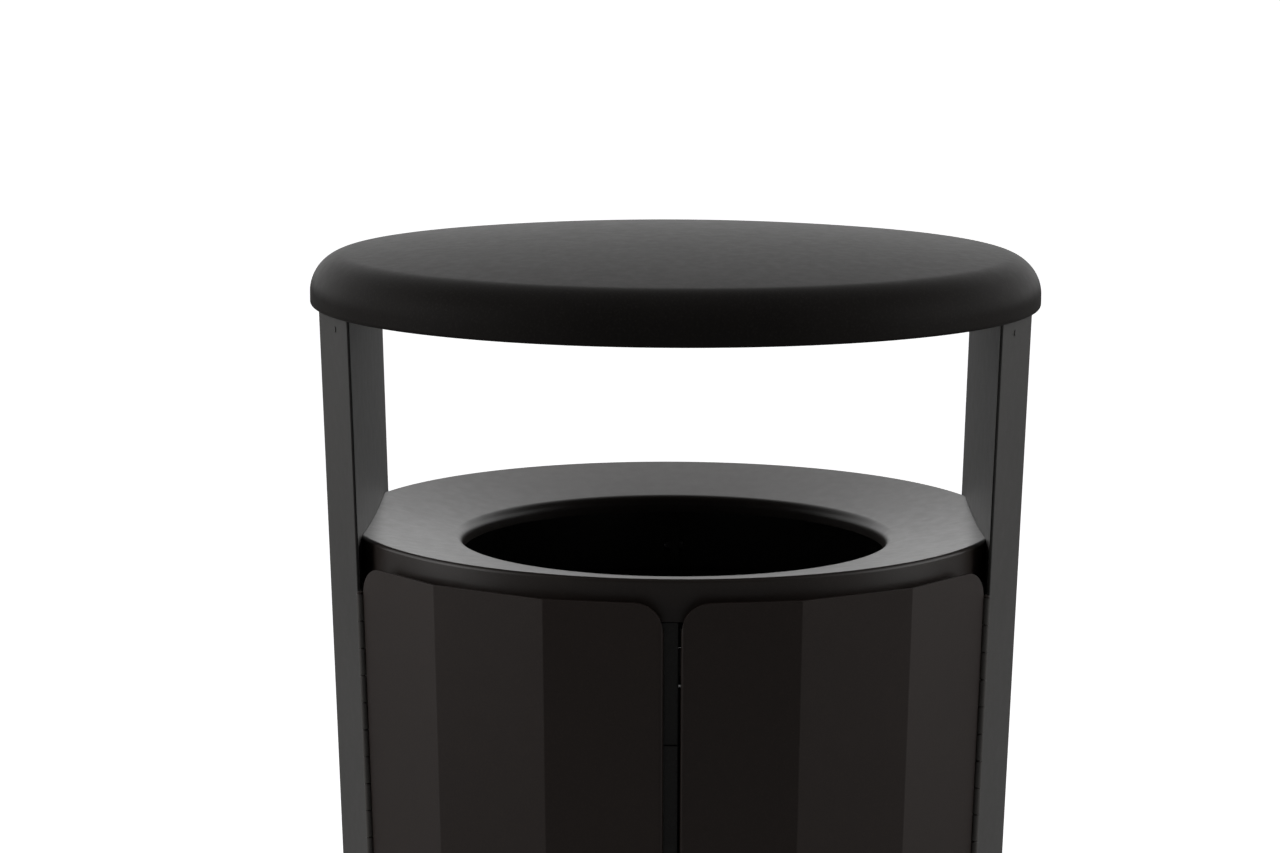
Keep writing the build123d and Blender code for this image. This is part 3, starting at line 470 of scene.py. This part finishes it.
def turned(profile, closed=True):
    """Solid turned about the middle axis from a half profile. A profile that starts and ends
    on the axis isn't closed."""
    bm = bmesh.new()
    rings = []
    for radius, z in profile:
        if radius < ON_AXIS:
            rings.append([bm.verts.new((0, 0, z))])
            continue
        turns = [2 * pi * i / TURN_STEPS for i in range(TURN_STEPS)]
        rings.append([bm.verts.new((radius * cos(a), radius * sin(a), z)) for a in turns])
    pairs = list(zip(rings, rings[1:])) + ([(rings[-1], rings[0])] if closed else [])
    for one, other in pairs:
        for i in range(TURN_STEPS):
            j = (i + 1) % TURN_STEPS
            corners = [one[i % len(one)], one[j % len(one)],
                       other[j % len(other)], other[i % len(other)]]
            unique = list(dict.fromkeys(corners))
            if len(unique) > 2:
                bm.faces.new(unique)
    return bm


def turned_sheet(node, bm):
    """The piece of a turned sheet, its rims rounded."""
    piece = new_object(f"{node}_finish", bm)
    piece.data.set_sharp_from_angle(angle=radians(TURNED_SHARP_ANGLE))
    return place_piece(round_edges(piece, EDGE_ROUND), node)


# ---- canopy -----------------------------------------------------------------------------------
CANOPY_RIM_R, CANOPY_SKIRT = 3.5 * MM, 12 * MM
CANOPY_SHOULDER_R = 36 * MM
CANOPY_FLANGE_R = 285 * MM
RIM_STEPS, SHOULDER_STEPS, CROWN_STEPS = 6, 18, 40


def canopy_profile(inset):
    """Outer or inner line of the canopy shell from the flange to the crown."""
    radius, bottom, top = canopy_high.x, canopy_low.z, canopy_high.z
    widest = bottom + CANOPY_SKIRT
    crown = top - widest
    shoulder_x = radius - CANOPY_SHOULDER_R
    crown_r = ((crown**2 + shoulder_x**2 - CANOPY_SHOULDER_R**2)
               / (2 * (crown - CANOPY_SHOULDER_R)))
    crown_centre = (0, top - crown_r)
    crown_edge = degrees(atan2(widest - crown_centre[1], shoulder_x))
    rim_centre = (radius - CANOPY_RIM_R, bottom + CANOPY_RIM_R)
    line = [(CANOPY_FLANGE_R, bottom + inset)]
    line += arc_points(rim_centre, CANOPY_RIM_R - inset, -90, 0, RIM_STEPS)
    line += arc_points((shoulder_x, widest), CANOPY_SHOULDER_R - inset, 0, crown_edge,
                       SHOULDER_STEPS)
    line += arc_points(crown_centre, crown_r - inset, crown_edge, 90, CROWN_STEPS)[1:]
    return line


def make_canopy():
    bm = turned(canopy_profile(0) + list(reversed(canopy_profile(SHEET))))
    bmesh.ops.remove_doubles(bm, verts=bm.verts, dist=WELD)
    return turned_sheet("canopy", bm)


# ---- funnel ring ------------------------------------------------------------------------------
RING_R = 310 * MM
HOLE_R = 201 * MM
HOLE_DROP = 19.7 * MM         # from the ring's outer edge down to the hole's edge
RING_EDGE_R = 3.4 * MM
HOLE_EDGE_R = 10 * MM
LIP = 15 * MM
TAB_HALF_WIDTH = 105 * MM
TAB_DROP = HOLE_DROP / 3


def ring_line(inset):
    """Outer or inner line of the ring sheet from the skirt's foot to the lip's foot."""
    hole_z = RING_TOP - HOLE_DROP
    corners = [Vector((RING_R - inset, ring_low.z)),
               Vector((RING_R - inset, RING_TOP - inset)),
               Vector((HOLE_R + inset, hole_z - inset)),
               Vector((HOLE_R + inset, hole_z - LIP))]
    return [tuple(p) for p in bend_path(corners, [RING_EDGE_R - inset, HOLE_EDGE_R - inset])]


def cut_ring(bm, side):
    """Cuts the ring off at the inner plate of the post on this side."""
    normal = Vector((side, 0, -TAPER * sin(radians(POST_AZIMUTH)))).normalized()
    foot = Vector((side * (chord_x(RING_TOP) - SHEET), 0, RING_TOP))
    geometry = bm.verts[:] + bm.edges[:] + bm.faces[:]
    cut = bmesh.ops.bisect_plane(bm, geom=geometry, plane_co=foot, plane_no=normal,
                                 clear_outer=True)
    rim = [e for e in cut["geom_cut"] if isinstance(e, bmesh.types.BMEdge)]
    bmesh.ops.holes_fill(bm, edges=rim)


def add_ring_tab(bm, side):
    """Upright tab under the cut edge of the funnel, against the post's inner plate."""
    levels = []
    for z in (ring_low.z, RING_TOP - TAB_DROP):
        outer = side * (chord_x(z) - SHEET)
        inner = outer - side * SHEET
        levels.append([bm.verts.new((x, y, z)) for x, y in
                       ((outer, -TAB_HALF_WIDTH), (outer, TAB_HALF_WIDTH),
                        (inner, TAB_HALF_WIDTH), (inner, -TAB_HALF_WIDTH))])
    low, high = levels
    bm.faces.new(low)
    bm.faces.new(high)
    for i in range(4):
        j = (i + 1) % 4
        bm.faces.new((low[i], low[j], high[j], high[i]))


def make_funnel_ring():
    bm = turned(ring_line(0) + list(reversed(ring_line(SHEET))))
    for side in (-1, 1):
        cut_ring(bm, side)
        add_ring_tab(bm, side)
    return turned_sheet("funnel_ring", bm)


# ---- liner ------------------------------------------------------------------------------------
LINER_WALL = 4 * MM
LINER_FOOT_R, LINER_TOP_R = 235 * MM, 261 * MM
LINER_FOOT_ROUND, LINER_FOOT_INNER_ROUND = 12 * MM, 10 * MM
LINER_FOOT_FLAT = 14 * MM     # from the wall's foot in to the flat bottom
LINER_LIP_ROUND, LINER_LIP_TURN = 4 * MM, 3 * MM
LINER_LIP_HEIGHT = 16 * MM
LINER_SHARP_ANGLE = 45.0
RIB_SHARES = (0.78, 0.88)     # of the liner's height
RIB_SWELL = 3 * MM
RIB_STEPS, RIB_STEP_HEIGHT = 8, 2.2 * MM
FOOT_ARC_START = -80          # degrees; the bottom meets the foot's arc here
ROUND_STEPS, TURN_UNDER_STEPS, TOP_EDGE_STEPS = 6, 4, 5


def liner_outside(low_z, high_z, lip_r):
    """Line from the bottom's middle up the drafted wall, over two ribs, to the lip's top."""
    foot_centre = (LINER_FOOT_R - LINER_FOOT_ROUND, low_z + LINER_FOOT_ROUND)
    line = [(0, low_z), (LINER_FOOT_R - LINER_FOOT_FLAT, low_z)]
    line += arc_points(foot_centre, LINER_FOOT_ROUND, FOOT_ARC_START, 0, ROUND_STEPS)
    for share in RIB_SHARES:
        wall_r = LINER_FOOT_R + (LINER_TOP_R - LINER_FOOT_R) * share
        middle_z = low_z + (high_z - low_z) * share
        for step in range(RIB_STEPS + 1):
            swell = RIB_SWELL * sin(pi * step / RIB_STEPS)
            line.append((wall_r + swell, middle_z + (step - RIB_STEPS / 2) * RIB_STEP_HEIGHT))
    turn_centre = (lip_r - LINER_LIP_TURN, high_z - LINER_LIP_HEIGHT + LINER_LIP_TURN)
    lip_centre = (lip_r - LINER_LIP_ROUND, high_z - LINER_LIP_ROUND)
    line.append((LINER_TOP_R, high_z - LINER_LIP_HEIGHT))
    line += arc_points(turn_centre, LINER_LIP_TURN, -90, 0, TURN_UNDER_STEPS)
    line += arc_points(lip_centre, LINER_LIP_ROUND, 0, 90, ROUND_STEPS)
    return line


def liner_inside(low_z, high_z):
    """Line from the lip's top down the inside of the wall to the bottom's middle."""
    top_centre = (LINER_TOP_R - LINER_WALL + LINER_LIP_TURN, high_z - LINER_LIP_TURN)
    foot_centre = (LINER_FOOT_R - LINER_FOOT_FLAT, low_z + LINER_FOOT_FLAT)
    line = arc_points(top_centre, LINER_LIP_TURN, 90, 180, TOP_EDGE_STEPS)
    line.append((LINER_FOOT_R - LINER_WALL, foot_centre[1] + LINER_WALL))
    line += arc_points(foot_centre, LINER_FOOT_INNER_ROUND, 0, -90, ROUND_STEPS)
    line.append((0, low_z + LINER_WALL))
    return line


def make_liner():
    """Moulded bin liner: drafted wall, rolled lip, rounded foot and two ribs below the lip."""
    low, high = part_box("liner")
    profile = liner_outside(low.z, high.z, high.x) + liner_inside(low.z, high.z)
    piece = new_object("liner_finish", turned(profile, closed=False))
    piece.data.set_sharp_from_angle(angle=radians(LINER_SHARP_ANGLE))
    return place_piece(piece, "liner")


# ---- studio -----------------------------------------------------------------------------------
FLOOR_HALF = 60
FLOOR_RETURN, FLOOR_GLOW = 0.42, 0.85    # light sent back to the object, glow for the camera
FLOOR_PALE = ((0.86, 0.86, 0.86), (0.9, 0.9, 0.9))
WORLD_FRONT, WORLD_REAR, WORLD_OVERHEAD = 0.03, 1.3, 0.06
WORLD_TURN = (-0.7, 0.6)      # from where to where along Y it goes from front to rear
WORLD_FADE = (0.25, 0.9)      # and along Z from full to overhead

SIDE_AIM = (0, 0, 0.7)
SIDE_LIGHT_SIZE = (1.6, 2.6)


def floor_paint():
    """Pale floor that looks white but throws little light back at the object."""
    n = Nodes(bpy.data.materials.new("studio_floor"))
    grain = n.noise(scale=35, detail=3.0)
    seen = n.node("ShaderNodeLightPath").outputs["Is Camera Ray"]
    colour = n.mix(seen, (FLOOR_RETURN,) * 3, n.mix(grain, *FLOOR_PALE))
    return n.shade(Base_Color=colour, Roughness=n.ramp(grain, 0, 1, 0.75, 0.85),
                   Emission_Color=WHITE, Emission_Strength=n.ramp(seen, 0, 1, 0, FLOOR_GLOW),
                   Specular_IOR_Level=0.0)


def make_floor():
    bm = bmesh.new()
    corners = [(-FLOOR_HALF, -FLOOR_HALF), (FLOOR_HALF, -FLOOR_HALF),
               (FLOOR_HALF, FLOOR_HALF), (-FLOOR_HALF, FLOOR_HALF)]
    bm.faces.new([bm.verts.new((x, y, 0)) for x, y in corners])
    floor_obj = new_object("studio_floor", bm)
    floor_obj.data.materials.append(floor_paint())


def make_world():
    """Surroundings that are brighter behind the object than before it, and dimmer overhead.
    The camera itself sees plain white."""
    world = bpy.data.worlds.new("studio")
    bpy.context.scene.world = world
    n = Nodes(world)
    direction = n.node("ShaderNodeTexCoord").outputs["Generated"]
    split = n.node("ShaderNodeSeparateXYZ", Vector=direction)
    depth = n.ramp(split.outputs["Y"], *WORLD_TURN, WORLD_FRONT, WORLD_REAR)
    height = n.ramp(split.outputs["Z"], *WORLD_FADE, 1.0, WORLD_OVERHEAD)
    product = n.tree.nodes.new("ShaderNodeMath")
    product.operation = "MULTIPLY"
    n.feed(product.inputs[0], depth)
    n.feed(product.inputs[1], height)
    seen = n.node("ShaderNodeLightPath").outputs["Is Camera Ray"]
    strength = n.node("ShaderNodeMix", Factor=seen, A=product.outputs[0], B=1.0)
    background = n.tree.nodes["Background"]
    n.feed(background.inputs["Color"], WHITE)
    n.feed(background.inputs["Strength"], strength.outputs[0])


def add_area(name, place, aim, size, power):
    data = bpy.data.lights.new(name, "AREA")
    data.shape = "RECTANGLE"
    data.size, data.size_y = size
    data.energy = power
    lamp = bpy.data.objects.new(name, data)
    bpy.context.scene.collection.objects.link(lamp)
    direction = Vector(aim) - Vector(place)
    turn = direction.to_track_quat("-Z", "Y").to_matrix().to_4x4()
    lamp.matrix_world = Matrix.Translation(place) @ turn


# ---- the bin ----------------------------------------------------------------------------------
HANDS = ((1, "right"), (-1, "left"))
REMADE = {"canopy", "funnel_ring", "liner"}
REMADE |= {f"{hand}_{part}" for _, hand in HANDS for part in ("post_shell", "door_skin")}
EDGE_OF_KIND = (("hinge", 0.25), ("screw", 0.25), ("lock", 0.35), ("plug", 0.2), ("nut", 0.3),
                ("bolt", 0.3), ("foot", 0.5), ("magnet", 0.6), ("bumper", 0.8))
PLAIN_SHEET_EDGE = 0.6

add_camera()
for side, hand in HANDS:
    make_post_shell(f"{hand}_post_shell", side)
    make_door_skin(f"{hand}_door_skin", side)
make_canopy()
make_funnel_ring()
make_liner()

for node in sorted(SLOT_OF):
    if node not in REMADE:
        width = next((w for kind, w in EDGE_OF_KIND if kind in node), PLAIN_SHEET_EDGE)
        soften(node, width * MM)

make_floor()
make_world()
add_area("top_light", place=(0, 0.3, 3.4), aim=(0, 0, 0.8), size=(3.0, 3.0), power=7)
add_area("left_light", place=(-3.2, -0.6, 1.6), aim=SIDE_AIM, size=SIDE_LIGHT_SIZE, power=21)
add_area("right_light", place=(3.2, -0.4, 1.6), aim=SIDE_AIM, size=SIDE_LIGHT_SIZE, power=16)
bpy.context.scene.view_settings.view_transform = "Standard"
